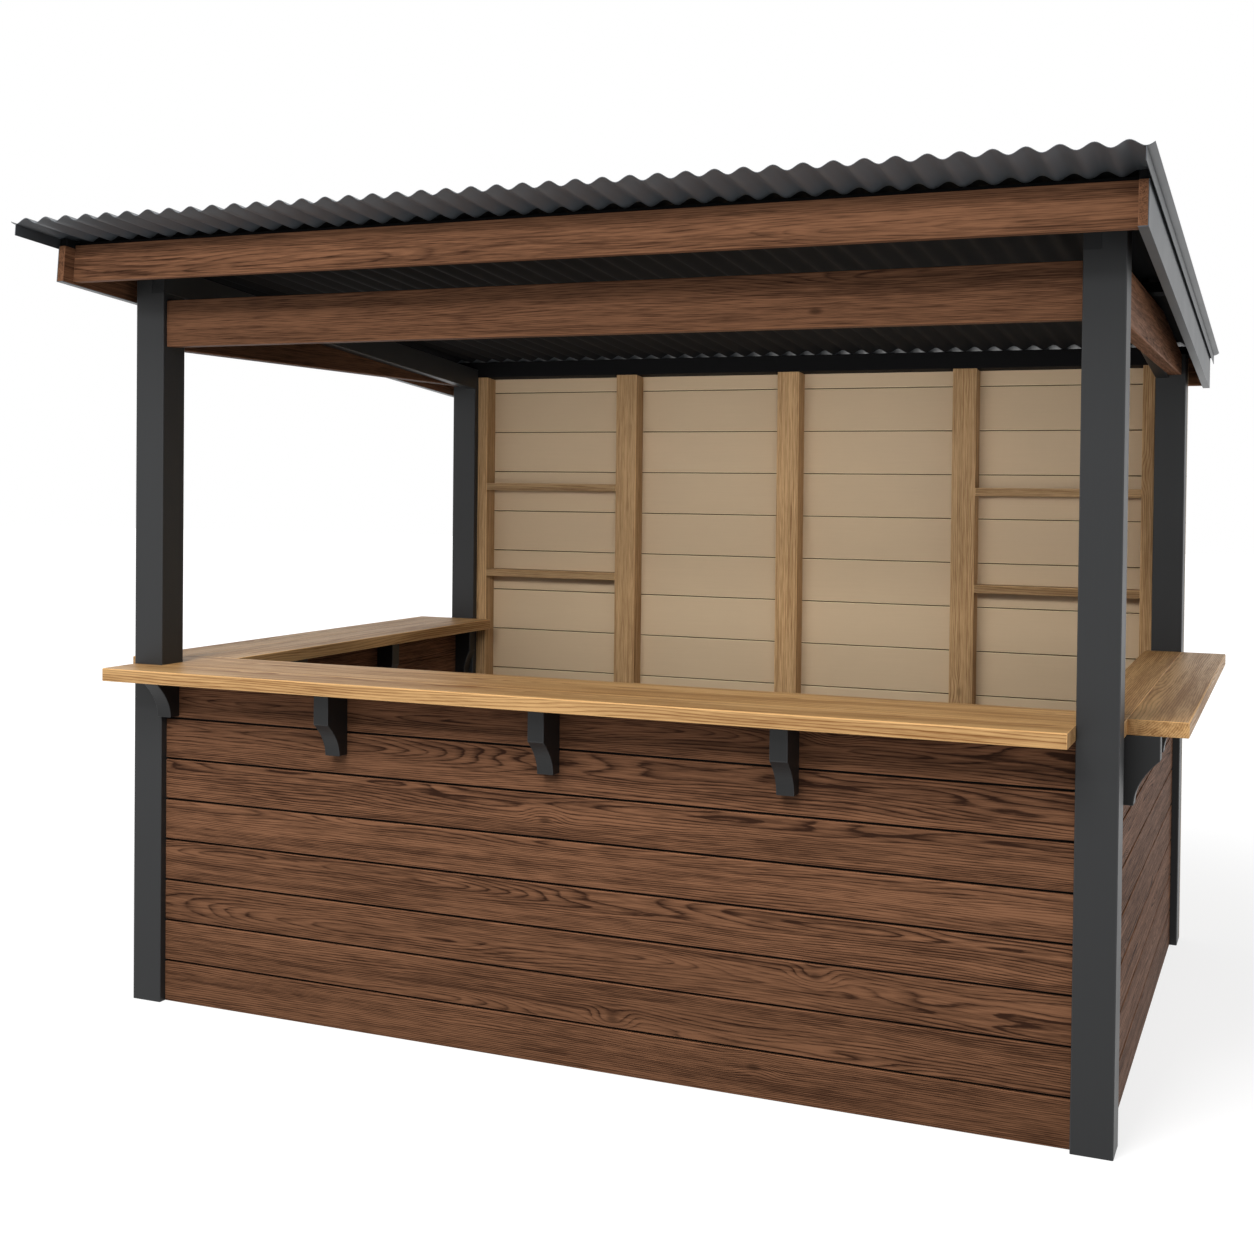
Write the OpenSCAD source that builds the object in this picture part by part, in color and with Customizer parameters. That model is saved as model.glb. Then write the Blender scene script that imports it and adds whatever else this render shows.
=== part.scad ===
// Wooden market stall: four charcoal posts, boarded half walls, oak counters on coved
// brackets, a boarded back with shelves, and a corrugated mono-pitch roof.
// Millimetres, +Z up, front towards -Y. The origin is on the ground under the middle of the roof.

/* [Frame] */
// Width over the outer faces of the corner posts
stall_w = 3000; // [2600:50:3600]
// Depth over the outer faces of the corner posts
stall_d = 2150; // [1700:50:2400]
// Side of the square corner posts
post = 105; // [105:5:130]
// Height of the underside of the front and side beams
beam_z = 2065; // [1950:5:2200]
// Depth of the front and side beams
beam_h = 145; // [120:5:170]
// Thickness of the front and side beams
beam_t = 45; // [35:1:45]
// How far the beams stand back from the outer faces of the posts
beam_recess = 15; // [8:1:15]

/* [Walls] */
// Thickness of the boarding of the front and side half walls
wall_t = 22; // [18:1:30]
// How far the boarding stands back from the outer faces of the posts
wall_recess = 25; // [15:1:35]
// Thickness of the boarding on the back of the stall
back_t = 20; // [16:1:28]

/* [Counters] */
// Height of the counter tops
counter_z = 1065; // [950:5:1150]
// Thickness of the counter planks
plank_t = 40; // [30:1:50]
// Width of the outer planks, which overhang the posts
outer_plank = 150; // [120:5:190]
// How far the inner plank of the front counter reaches past the inner faces of the posts
front_reach_in = 165; // [60:5:220]
// How far the inner plank of the left counter reaches past the inner faces of the posts
left_reach_in = 85; // [20:5:120]
// How far the inner plank of the right counter reaches past the inner faces of the posts
right_reach_in = 20; // [20:5:120]
// Distance from the front posts to the outer planks of the side counters
side_set = 65; // [0:5:100]
// Chamfer that eases the outer edges of the planks
ease = 2; // [1:0.5:8]

/* [Brackets] */
// Thickness of a bracket along the wall
bracket_t = 50; // [30:1:60]
// How far a bracket stands out from the outer face of its wall
bracket_reach = 106; // [90:1:120]
// How far a bracket stands out from the inner face of its wall
inner_bracket_reach = 70; // [60:1:75]
// Height of the brackets on the front and inside the stall
bracket_h = 195; // [150:5:240]
// Height of the plumb face at the nose of these brackets
bracket_nose = 95; // [50:1:120]
// Height of the brackets on the outer sides
side_bracket_h = 180; // [140:5:220]
// Height of the plumb face at the nose of the brackets on the outer sides
side_bracket_nose = 62; // [40:1:90]
// Depth left at the foot of a bracket
bracket_foot = 43; // [25:1:60]
// Distance along the front from the left post to the second bracket, centre line
bracket_start = 645; // [500:5:750]
// Distance between the further brackets of the front
bracket_pitch = 703; // [550:1:800]
// Height of the small bracket of the front, beside the left post
small_h = 120; // [100:5:150]
// Height of the plumb face at the nose of the small bracket
small_nose = 12; // [5:1:40]
// Number of brackets on the front
front_count = 4; // [2:1:4]
// Number of brackets under the outer plank of each side counter
outer_count = 3; // [2:1:4]
// Number of brackets under the inner plank of each side counter
inner_count = 4; // [2:1:5]

/* [Back wall] */
// Width of the three middle studs
stud_w = 90; // [60:5:120]
// Width of the end studs beside the posts
end_stud_w = 45; // [30:5:60]
// Depth of the studs
stud_d = 75; // [50:5:100]
// Distance between the centre lines of the middle studs
stud_pitch = 700; // [550:10:800]
// Thickness of the shelves
shelf_t = 30; // [20:1:40]
// Height of the top of the upper shelves
upper_shelf_z = 1650; // [1550:10:1800]
// Height of the top of the lower shelves
lower_shelf_z = 1280; // [1180:10:1450]

/* [Roof] */
// Fall of the roof towards the back, in degrees
roof_pitch = 5; // [3:0.5:8]
// Drop from the top of the beams to the sheet, over the back faces of the posts
rear_drop = 47; // [30:1:60]
// Overhang of the sheet in front of the posts, along the slope
sheet_front = 435; // [380:1:500]
// Overhang of the sheet behind the posts, along the slope
sheet_rear = 142; // [110:1:200]
// Least overhang at each side, from the posts to the last trough of the sheet
side_lap = 80; // [80:1:140]
// Distance from crest to crest of the corrugation
wave_pitch = 73.5; // [60:0.5:100]
// Height of the corrugation
wave_h = 16; // [12:1:24]
// Thickness of the sheet
sheet_t = 1.5; // [1:0.1:3]
// Height of the turned down trim along both edges of the sheet
verge_h = 32; // [20:1:40]
// Height of the purlins under the sheet
purlin_h = 32; // [25:1:45]
// Width of the front and middle purlins
purlin_w = 60; // [45:1:80]
// Height of the rear purlin between the rafters
rear_purlin_h = 65; // [50:1:80]
// Depth of the rafters
rafter_h = 85; // [70:1:90]
// Depth of the rafter tails in front of the posts
tail_h = 40; // [30:1:50]
// Thickness of the rafters
rafter_t = 45; // [35:1:45]
// Depth of the front and rear fascia boards
fascia_h = 112; // [106:1:140]
// Distance from the sheet down to the fascia boards
fascia_gap = 14; // [6:1:20]
// Distance from the posts to the front of the fascia, along the slope
fascia_front = 220; // [180:1:260]
// Depth of the barge boards
barge_h = 108; // [90:1:140]
// Distance from the sheet down to the barge boards
barge_drop = 24; // [15:1:28]
// Clear distance from the posts to the barge boards
barge_gap = 49; // [30:1:55]
// How far the barge boards run on in front of the fascia
barge_nose = 43; // [10:1:60]
// Thickness of the fascia and barge boards
trim_t = 22; // [18:1:30]
// Thickness of the metal covers on the barge boards and of the verge trim
cover_t = 2; // [1:0.5:4]

/* [Hidden] */
half_w = stall_w / 2;
// Plan: the roof sheet is longest, so the origin is under its middle
run = cos(roof_pitch);
front_reach = sheet_front * run + verge_h * sin(roof_pitch);
rear_reach = sheet_rear * run + (wave_h + sheet_t) * sin(roof_pitch);
front_y = (front_reach - stall_d - rear_reach) / 2;
rear_y = front_y + stall_d;
post_in = half_w - post;
// Roof plane: the underside of the sheet, falling to the back
roof_z = beam_z + beam_h - rear_drop + stall_d * tan(roof_pitch);
rafter_in = half_w - beam_recess - beam_t;
rear_clear = 6;
rafter_rear = (stall_d + back_t + rear_clear) / run + (fascia_gap + fascia_h) * tan(roof_pitch);
barge_in = half_w + barge_gap;
barge_front = -fascia_front - barge_nose;
// Sheet: whole waves from trough to trough, and a quarter wave turned up at each edge
crests = ceil((stall_w + 2 * side_lap) / wave_pitch);
trough_half = crests / 2 * wave_pitch;
sheet_half = trough_half + wave_pitch / 4;
sheet_end = stall_d / run + sheet_rear;
wave_steps = 12;
cove_steps = 12;
// How far a cutting shape runs past the faces that it cuts through
overcut = 1;
under_counter = counter_z - plank_t;
wall_face = half_w - wall_recess;
wall_front = front_y + wall_recess;
inner_y = front_y + post + front_reach_in;
stud_front = rear_y - stud_d;
charcoal = "#3a3b3d";
walnut = "#5f3f2c";
oak = "#a9793f";
tan_paint = "#a8977c";
roof_grey = "#4a4b4d";

// Height at y of the plane that lies drop below the roof plane, measured square to the slope
function slope_z(y, drop) = roof_z - (y - front_y) * tan(roof_pitch) - drop / run;

// Block between two corners
module block(a, b) {
    translate(a) cube(b - a);
}

// Shape drawn on the right, or its mirror image on the left
module side(s) {
    mirror([s < 0 ? 1 : 0, 0, 0]) children();
}

// Profile in Y and Z, run along X from x0 to x1
module across(x0, x1) {
    translate([x0, 0, 0]) rotate([90, 0, 90]) linear_extrude(x1 - x0) children();
}

// Profile in X and Z, run along Y from y0 to y1
module along(y0, y1) {
    translate([0, y1, 0]) rotate([90, 0, 0]) linear_extrude(y1 - y0) children();
}

// Frame of the roof: y runs down the slope from over the front posts, z is square to it
module on_roof() {
    translate([0, front_y, roof_z]) rotate([-roof_pitch, 0, 0]) children();
}

// Upright from the ground, cut to the slope at drop below the sheet
module upright(x0, x1, y0, y1, drop) {
    across(x0, x1) polygon([[y0, 0], [y1, 0], [y1, slope_z(y1, drop)], [y0, slope_z(y0, drop)]]);
}

// Corner post on side s, housed on its inner side for the rafter
module corner_post(s, y0) {
    color(charcoal) side(s) difference() {
        upright(post_in, half_w, y0, y0 + post, purlin_h);
        on_roof() block(
            [post_in - overcut, -post, -purlin_h - rafter_h],
            [rafter_in, (stall_d + post) / run, post]
        );
    }
}

module front_beam() {
    face = front_y + beam_recess;
    color(walnut) block([-post_in, face, beam_z], [post_in, face + beam_t, beam_z + beam_h]);
}

// Side beam, level below, with its top cut down to the slope towards the back
module side_beam(s) {
    y0 = front_y + post;
    y1 = rear_y - post;
    top = beam_z + beam_h;
    y_cut = front_y + (roof_z - purlin_h / run - top) / tan(roof_pitch);
    y_top = min(max(y_cut, y0), y1);
    color(walnut) side(s) across(rafter_in, rafter_in + beam_t)
        polygon([
            [y0, beam_z], [y1, beam_z], [y1, min(top, slope_z(y1, purlin_h))],
            if (y_top < y1 && y_top > y0) [y_top, top],
            [y0, min(top, slope_z(y0, purlin_h))]
        ]);
}

// Rafter housed in the posts, with a shallow tail in front of them that carries the fascia
module rafter(s) {
    tail_y = trim_t - fascia_front;
    step_y = (purlin_h + rafter_h) * tan(roof_pitch);
    color(charcoal) side(s) on_roof() across(rafter_in - rafter_t, rafter_in) polygon([
        [tail_y, -purlin_h], [tail_y, -purlin_h - tail_h], [step_y, -purlin_h - tail_h],
        [step_y, -purlin_h - rafter_h], [rafter_rear, -purlin_h - rafter_h], [rafter_rear, -purlin_h]
    ]);
}

module front_wall() {
    color(walnut) block([-post_in, wall_front, 0], [post_in, wall_front + wall_t, under_counter]);
}

module side_wall(s) {
    color(walnut) side(s)
        block([wall_face - wall_t, front_y + post, 0], [wall_face, rear_y - post, under_counter]);
}

// Boarding across the backs of the posts, cut out where the rafters pass
module back_wall() {
    top = slope_z(rear_y + back_t, purlin_h);
    seat = slope_z(rear_y + back_t, purlin_h + rafter_h);
    color(tan_paint) difference() {
        block([-half_w, rear_y, 0], [half_w, rear_y + back_t, top]);
        for (s = [-1, 1]) side(s) block(
            [rafter_in - rafter_t, rear_y - overcut, seat],
            [rafter_in, rear_y + back_t + overcut, top + overcut]
        );
    }
}

// Left edge of stud i, counted from 1 on the left, and its width
function stud_width(i) = i == 1 || i == 5 ? end_stud_w : stud_w;
function stud_x(i) =
    i == 1 ? -post_in :
    i == 5 ? post_in - end_stud_w :
    (i - 3) * stud_pitch - stud_w / 2;

// Stud of the back wall, cut to the slope under the rear purlin
module back_stud(i) {
    color(oak)
        upright(stud_x(i), stud_x(i) + stud_width(i), stud_front, rear_y, rear_purlin_h);
}

// Shelf between studs i and i + 1
module shelf(i, top) {
    color(oak)
        block([stud_x(i) + stud_width(i), stud_front, top - shelf_t], [stud_x(i + 1), rear_y, top]);
}

// Section of a counter plank with both corners of its outer edge eased
function plank(edge, back) =
    let (cut = edge < back ? ease : -ease)
    [
        [edge + cut, under_counter], [back, under_counter], [back, counter_z],
        [edge + cut, counter_z], [edge, counter_z - ease], [edge, under_counter + ease]
    ];

// Outer plank of the front counter, which passes in front of the left post
module front_counter_outer() {
    color(oak) across(-half_w, post_in) polygon(plank(front_y - outer_plank, front_y));
}

// Inner plank of the front counter, notched round both front posts
module front_counter_inner() {
    color(oak) difference() {
        block([-half_w, front_y, under_counter], [half_w, inner_y, counter_z]);
        for (s = [-1, 1]) side(s) block(
            [post_in, front_y - overcut, under_counter - overcut],
            [half_w + overcut, front_y + post, counter_z + overcut]
        );
    }
}

module side_counter_outer(s) {
    color(oak) side(s) along(front_y + post + side_set, rear_y - post)
        polygon(plank(half_w + outer_plank, half_w));
}

module side_counter_inner(s, reach) {
    color(oak) side(s)
        block([post_in - reach, inner_y, under_counter], [half_w, rear_y - post, counter_z]);
}

// Bracket with a plumb nose over a cove that runs down to its foot, standing out along +X from x = 0
module bracket(h, nose, reach) {
    along(-bracket_t / 2, bracket_t / 2) polygon([
        [0, -h], [0, 0], [reach, 0],
        for (i = [0 : cove_steps])
            let (down = i / cove_steps)
            [
                bracket_foot + (reach - bracket_foot) * pow(1 - down, 2),
                -nose - (h - nose) * down
            ]
    ]);
}

// Centre lines of n brackets along a side, spread from start behind the front post to the back post
function side_places(n, start) =
    let (pitch = (stall_d - 2 * post - start - bracket_t) / (n - 1))
    [for (i = [0 : n - 1]) start + bracket_t / 2 + i * pitch];

// Place of a front bracket whose centre line lies d from the left post
module front_place(d) {
    translate([-post_in + d, wall_front, under_counter]) rotate(-90) children();
}

// Brackets of the front: a small one against the left post, then full ones
module front_brackets() {
    color(charcoal) {
        front_place(bracket_t / 2) bracket(small_h, small_nose, bracket_reach);
        for (i = [0 : front_count - 2])
            front_place(bracket_start + i * bracket_pitch)
                bracket(bracket_h, bracket_nose, bracket_reach);
    }
}

module side_outer_brackets(s) {
    color(charcoal) side(s) for (d = side_places(outer_count, side_set))
        translate([wall_face, front_y + post + d, under_counter])
            bracket(side_bracket_h, side_bracket_nose, bracket_reach);
}

// Brackets under the inner plank of a side counter, inside the stall
module side_inner_brackets(s) {
    color(charcoal) side(s) for (d = side_places(inner_count, 0))
        translate([wall_face - wall_t, front_y + post + d, under_counter]) rotate(180)
            bracket(bracket_h, bracket_nose, inner_bracket_reach);
}

// Fascia board between the barge boards, its front face at y0 on the slope
module fascia(y0) {
    color(walnut) on_roof()
        block([-barge_in, y0, -fascia_gap - fascia_h], [barge_in, y0 + trim_t, -fascia_gap]);
}

module front_fascia() {
    fascia(-fascia_front);
}

module rear_fascia() {
    fascia(rafter_rear);
}

module barge(s) {
    color(walnut) side(s) on_roof() block(
        [barge_in, barge_front, -barge_drop - barge_h],
        [barge_in + trim_t, rafter_rear + trim_t, -barge_drop]
    );
}

// Folded metal on the outer face and the underside of a barge board
module barge_cover(s) {
    low = -barge_drop - barge_h;
    out = barge_in + trim_t;
    color(roof_grey) side(s) on_roof() along(barge_front, rafter_rear + trim_t) polygon([
        [barge_in, low - cover_t], [out + cover_t, low - cover_t], [out + cover_t, -barge_drop],
        [out, -barge_drop], [out, low], [barge_in, low]
    ]);
}

// Purlin under the sheet, from barge board to barge board
module purlin(y0, y1) {
    color(charcoal) on_roof() block([-barge_in, y0, -purlin_h], [barge_in, y1, 0]);
}

// Purlin behind the front fascia
module front_purlin() {
    purlin(trim_t - fascia_front, trim_t - fascia_front + purlin_w);
}

module middle_purlin() {
    middle = (rafter_rear - fascia_front) / 2;
    purlin(middle - purlin_w / 2, middle + purlin_w / 2);
}

// Purlin over the studs, deeper between the rafters than where it passes over them
module rear_purlin() {
    y0 = (stall_d - stud_d) / run;
    step_x = rafter_in - rafter_t;
    color(charcoal) on_roof() along(y0, stall_d / run) polygon([
        [-step_x, -rear_purlin_h], [step_x, -rear_purlin_h], [step_x, -purlin_h],
        [barge_in, -purlin_h], [barge_in, 0], [-barge_in, 0],
        [-barge_in, -purlin_h], [-step_x, -purlin_h]
    ]);
}

// Height of the underside of the sheet at x, with a trough near each edge
function wave(x) = wave_h * (1 - cos(360 * (x - trough_half) / wave_pitch)) / 2;

// Corrugated sheet, its waves running down the slope
module roof_sheet() {
    step = wave_pitch / wave_steps;
    n = sheet_half / step;
    under = [for (i = [-n : n]) [i * step, wave(i * step)]];
    over = [for (i = [n : -1 : -n]) [i * step, wave(i * step) + sheet_t]];
    color(roof_grey) on_roof() along(-sheet_front, sheet_end) polygon(concat(under, over));
}

// Turned down trim under the last trough of the sheet
module verge(s) {
    color(roof_grey) side(s) on_roof() block(
        [trough_half - cover_t / 2, -sheet_front, -verge_h],
        [trough_half + cover_t / 2, sheet_end, 0]
    );
}

corner_post(-1, front_y);  // post_front_left
corner_post(1, front_y);  // post_front_right
corner_post(-1, rear_y - post);  // post_back_left
corner_post(1, rear_y - post);  // post_back_right
front_beam();
side_beam(-1);  // left_beam
side_beam(1);  // right_beam
rafter(-1);  // left_rafter
rafter(1);  // right_rafter
front_wall();
side_wall(-1);  // left_wall
side_wall(1);  // right_wall
back_wall();
back_stud(1);  // back_stud_1
back_stud(2);  // back_stud_2
back_stud(3);  // back_stud_3
back_stud(4);  // back_stud_4
back_stud(5);  // back_stud_5
shelf(1, upper_shelf_z);  // shelf_left_upper
shelf(1, lower_shelf_z);  // shelf_left_lower
shelf(4, upper_shelf_z);  // shelf_right_upper
shelf(4, lower_shelf_z);  // shelf_right_lower
front_counter_outer();
front_counter_inner();
side_counter_outer(-1);  // left_counter_outer
side_counter_inner(-1, left_reach_in);  // left_counter_inner
side_counter_outer(1);  // right_counter_outer
side_counter_inner(1, right_reach_in);  // right_counter_inner
front_brackets();
side_outer_brackets(-1);  // left_outer_brackets
side_inner_brackets(-1);  // left_inner_brackets
side_outer_brackets(1);  // right_outer_brackets
side_inner_brackets(1);  // right_inner_brackets
front_fascia();
rear_fascia();
barge(-1);  // left_barge
barge(1);  // right_barge
barge_cover(-1);  // left_barge_cover
barge_cover(1);  // right_barge_cover
front_purlin();
middle_purlin();
rear_purlin();
roof_sheet();
verge(-1);  // left_verge
verge(1);  // right_verge
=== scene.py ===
"""Looks of a wooden market stall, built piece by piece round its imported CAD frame."""

import random
from functools import cache
from math import ceil, cos, pi, radians, sin

import bmesh
import bpy
from bpy.props import FloatProperty, FloatVectorProperty, IntProperty, PointerProperty
from mathutils import Matrix, Vector
from mathutils.bvhtree import BVHTree


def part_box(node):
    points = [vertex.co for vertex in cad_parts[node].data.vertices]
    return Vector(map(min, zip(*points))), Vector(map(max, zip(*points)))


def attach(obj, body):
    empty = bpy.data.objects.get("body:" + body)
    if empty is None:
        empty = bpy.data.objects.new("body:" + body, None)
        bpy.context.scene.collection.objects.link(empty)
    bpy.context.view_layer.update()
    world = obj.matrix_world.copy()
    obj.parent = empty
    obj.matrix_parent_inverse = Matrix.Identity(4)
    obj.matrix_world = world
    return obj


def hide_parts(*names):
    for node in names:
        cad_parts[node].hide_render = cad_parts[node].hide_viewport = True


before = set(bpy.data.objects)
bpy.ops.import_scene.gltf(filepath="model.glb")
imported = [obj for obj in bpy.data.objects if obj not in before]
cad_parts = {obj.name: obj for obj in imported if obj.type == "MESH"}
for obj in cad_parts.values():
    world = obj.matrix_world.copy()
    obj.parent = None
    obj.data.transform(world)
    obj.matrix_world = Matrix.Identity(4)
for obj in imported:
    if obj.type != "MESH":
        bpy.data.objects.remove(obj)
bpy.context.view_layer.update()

bl_info = {
    "name": "Wooden market stall",
    "version": (1, 0, 0),
    "blender": (4, 5, 0),
    "location": "3D View > Sidebar > Stall",
    "description": "Boards, counters, paint and metal of a market stall on its CAD frame",
    "category": "Object",
}

# Directions in the row frame, in which the front of the stall looks towards -Y
EAST = Vector((1, 0, 0))
NORTH = Vector((0, 1, 0))
UP = Vector((0, 0, 1))

# Copies of the CAD meshes: what counts as one vertex, one flat face and an arris, and the steps of a rounding
MERGE_GAP = 0.00001
FLAT_ANGLE = radians(0.5)
ARRIS_ANGLE = radians(25)
EASE_SEGMENTS = 2
# Shortest edge that is rounded on a post or rafter, so that their housings stay tight
LONG_EDGE = 0.3

# Grain: one seed for the whole stall, and where in the log a timber may be cut
GRAIN_SEED = 417
LOG_LENGTH = 6.0
PITH_ASIDE = 0.1
PITH_DEPTH = (0.02, 0.07)

# Tones: a timber draws its own from -1 to 1, and these are added on top of it: painted light on the fascias
# and right beam, a darker tone on the front beam and barge boards, painted shade on the left beam and on the
# brackets under the counters, and a darker tone on the shelves
TRIM_PAINTED_LIGHT = 1.6
BEAM_LIFT = -1.2
SHADE_LIFT = -5.0
BRACKET_PAINTED_SHADE = -16.0
SHELF_LIFT = -2.5
# Painted shade: tones that darken the barge covers, and the verges with the rims of the sheet beside them
COVER_PAINTED_SHADE = -4.3
VERGE_PAINTED_SHADE = -6.0

# Fibre of sawn timber as width and length in metres, and share. Real fibre is finer than a pixel, so it is
# drawn coarser, and coarser still on the counters, which the camera sees at a flat angle
FINE_FIBRE = ((0.0034, 0.08, 0.4), (0.009, 0.28, 0.3), (0.035, 1.2, 0.3))
STREAKED_FIBRE = ((0.0034, 0.08, 0.25), (0.014, 0.4, 0.3), (0.06, 1.3, 0.45))
# Darkness across one ring, from early wood to late wood: place and share
LATE_WOOD = ((0.0, 0.1), (0.35, 0.0), (0.68, 0.4), (0.86, 1.0), (1.0, 0.1))
# Bands in one unit of Blender's wave texture at scale 1, times two pi
WAVE_TURNS = 20

# Edge marks of a face: a rounded arris paled by wear and a painted highlight, and painted shade in a groove
# and under the roof sheet, while a plain face keeps 0
WEAR_AND_HIGHLIGHT = 1.0
PAINTED_SHADE = -1.0


def linear(code):
    """Linear RGBA colour of an sRGB hex code."""
    parts = [int(code[i:i + 2], 16) / 255 for i in (1, 3, 5)]
    return [c / 12.92 if c <= 0.04045 else ((c + 0.055) / 1.055) ** 2.4 for c in parts] + [1.0]


def colour_property(name, code, description):
    """Colour of a finish as a property that shows in the sidebar."""
    return FloatVectorProperty(
        name=name, description=description, default=linear(code), size=4, min=0, max=1, subtype="COLOR"
    )


def length_property(name, metres, description):
    """Length of a detail as a property that shows in the sidebar."""
    return FloatProperty(
        name=name, description=description, default=metres, min=0, unit="LENGTH", precision=4
    )


class StallSizes(bpy.types.PropertyGroup):
    """Sizes of the details that are added to the CAD solids."""

    board_count: IntProperty(
        name="Boards in a half wall", description="Boards from the ground to the counter", default=8, min=1
    )
    board_gap: length_property("Board gap", 0.007, "Open groove between two boards of a half wall")
    back_pitch: length_property("Back board pitch", 0.17, "Height of one board of the back wall")
    back_gap: length_property("Back board gap", 0.004, "Open groove between two boards of the back wall")
    board_lip: length_property("Board lip", 0.009, "Thickness of a board in front of its lap")
    board_lap: length_property("Board lap", 0.012, "Height of the tongue behind the next board")
    board_ease: length_property("Board ease", 0.002, "Rounding on the edges of the boards")
    timber_ease: length_property("Timber ease", 0.003, "Rounding on the edges of posts and beams")
    plank_ease: length_property("Plank ease", 0.0015, "Rounding on the edges of counters and shelves")
    metal_ease: length_property("Metal ease", 0.0006, "Rounding on the folds of the metal trim")
    corrugation: length_property("Corrugation", 0.0735, "Distance from crest to crest of the roof sheet")
    batten_height: length_property("Batten height", 0.0235, "Height of the battens on the barge boards")
    batten_lap: length_property("Batten lap", 0.005, "How far a batten stands out past its barge board")
    batten_set: length_property("Batten set", 0.008, "How far a batten starts behind the barge board's nose")
    screw_head: length_property("Screw head", 0.009, "Width of a roof screw's head across its corners")
    screw_washer: length_property("Screw washer", 0.016, "Diameter of the washer under a roof screw")
    roof_pitch: FloatProperty(
        name="Roof pitch", description="Fall of the roof to the back", default=radians(5), unit="ROTATION"
    )


class StallColours(bpy.types.PropertyGroup):
    """Colours of the finishes."""

    charcoal: colour_property("Charcoal paint", "#2a2b2c", "Paint of the posts and brackets")
    black: colour_property("Black stain", "#111112", "Stain of the purlins and battens")
    walnut_light: colour_property("Walnut stain, light", "#896046", "Early wood of the stained boards")
    walnut_dark: colour_property("Walnut stain, dark", "#352117", "Late wood of the stained boards")
    oak_light: colour_property("Counter oak, light", "#c99f6a", "Early wood of the oiled counters")
    oak_dark: colour_property("Counter oak, dark", "#7d542c", "Late wood of the oiled counters")
    stud_light: colour_property("Stud oak, light", "#c8a376", "Early wood of the studs and shelves")
    stud_dark: colour_property("Stud oak, dark", "#86633f", "Late wood of the studs and shelves")
    tan_paint: colour_property("Tan paint", "#c9b090", "Paint of the back wall")
    roof_metal: colour_property("Roof metal", "#5a5f64", "Coated steel of the roof sheet and its trim")
    # Colour of the painted shade under the roof sheet, put there as a dark anti-drip sheet
    painted_shade_fleece: colour_property("Fleece", "#202021", "Anti-drip fleece under the roof sheet")
    floor: colour_property("Floor", "#f6f6f6", "Plain studio floor")
    bounce: colour_property("Floor bounce", "#646464", "Floor as the stall's shaded sides see it")


def add(tree, kind, links=None, stops=None, out=None, **settings):
    """Adds a node with its settings, the links or values of its inputs and its colour stops."""
    node = tree.nodes.new(kind)
    for name, value in settings.items():
        setattr(node, name, value)
    for key, value in (links or {}).items():
        named = [s for s in node.inputs if s.enabled and s.name == key]
        socket = named[0] if named else node.inputs[key]
        if isinstance(value, bpy.types.NodeSocket):
            tree.links.new(value, socket)
        else:
            socket.default_value = value
    for place, (position, colour) in enumerate(stops or ()):
        ramp = node.color_ramp.elements
        stop = ramp[place] if place < len(ramp) else ramp.new(position)
        stop.position = position
        stop.color = colour
    shown = [s for s in node.outputs if s.enabled and out in (None, s.name)]
    return shown[0] if shown else None


def blank_material(name):
    """Material with no nodes, and its tree."""
    made = bpy.data.materials.new(name)
    made.use_nodes = True
    made.node_tree.nodes.clear()
    return made, made.node_tree


def finish_surface(tree, colour, roughness, normal, level):
    """Principled surface with these inputs, as the material's output."""
    shader = add(tree, "ShaderNodeBsdfPrincipled",
                 {"Base Color": colour, "Roughness": roughness, "Normal": normal, "Specular IOR Level": level})
    add(tree, "ShaderNodeOutputMaterial", {"Surface": shader})


def marks(tree):
    """Edges paled by wear and a painted highlight, and painted shade in grooves and under the sheet, each from
    0 to 1, and the tone of the piece.
    """
    edge = add(tree, "ShaderNodeAttribute", out="Fac", attribute_name="edge")
    wear_and_highlight_mask = add(tree, "ShaderNodeMath", {0: edge, 1: 0.0}, operation="MAXIMUM")
    groove = add(tree, "ShaderNodeMath", {0: edge, 1: PAINTED_SHADE}, operation="MULTIPLY", use_clamp=True)
    tone = add(tree, "ShaderNodeAttribute", out="Fac", attribute_name="tone")
    return wear_and_highlight_mask, groove, tone


def shaded(colour, share):
    """Colour at a share of its brightness, no more than white."""
    return [min(1, c * share) for c in colour[:3]] + [1]


def edged_colour(tree, colour, wear_and_highlight_mask, wear_and_highlight_by, wear_and_highlight_colour, groove, painted_shade_colour):
    """Colour that goes over to a paler one on edges, for wear and a painted highlight, and to a dark one where
    shade is painted in grooves and under the sheet.
    """
    share = add(tree, "ShaderNodeMath", {0: wear_and_highlight_mask, 1: wear_and_highlight_by}, operation="MULTIPLY")
    edged = add(tree, "ShaderNodeMix", {"Factor": share, "A": colour, "B": wear_and_highlight_colour}, data_type="RGBA")
    return add(tree, "ShaderNodeMix", {"Factor": groove, "A": edged, "B": painted_shade_colour}, data_type="RGBA")


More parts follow.
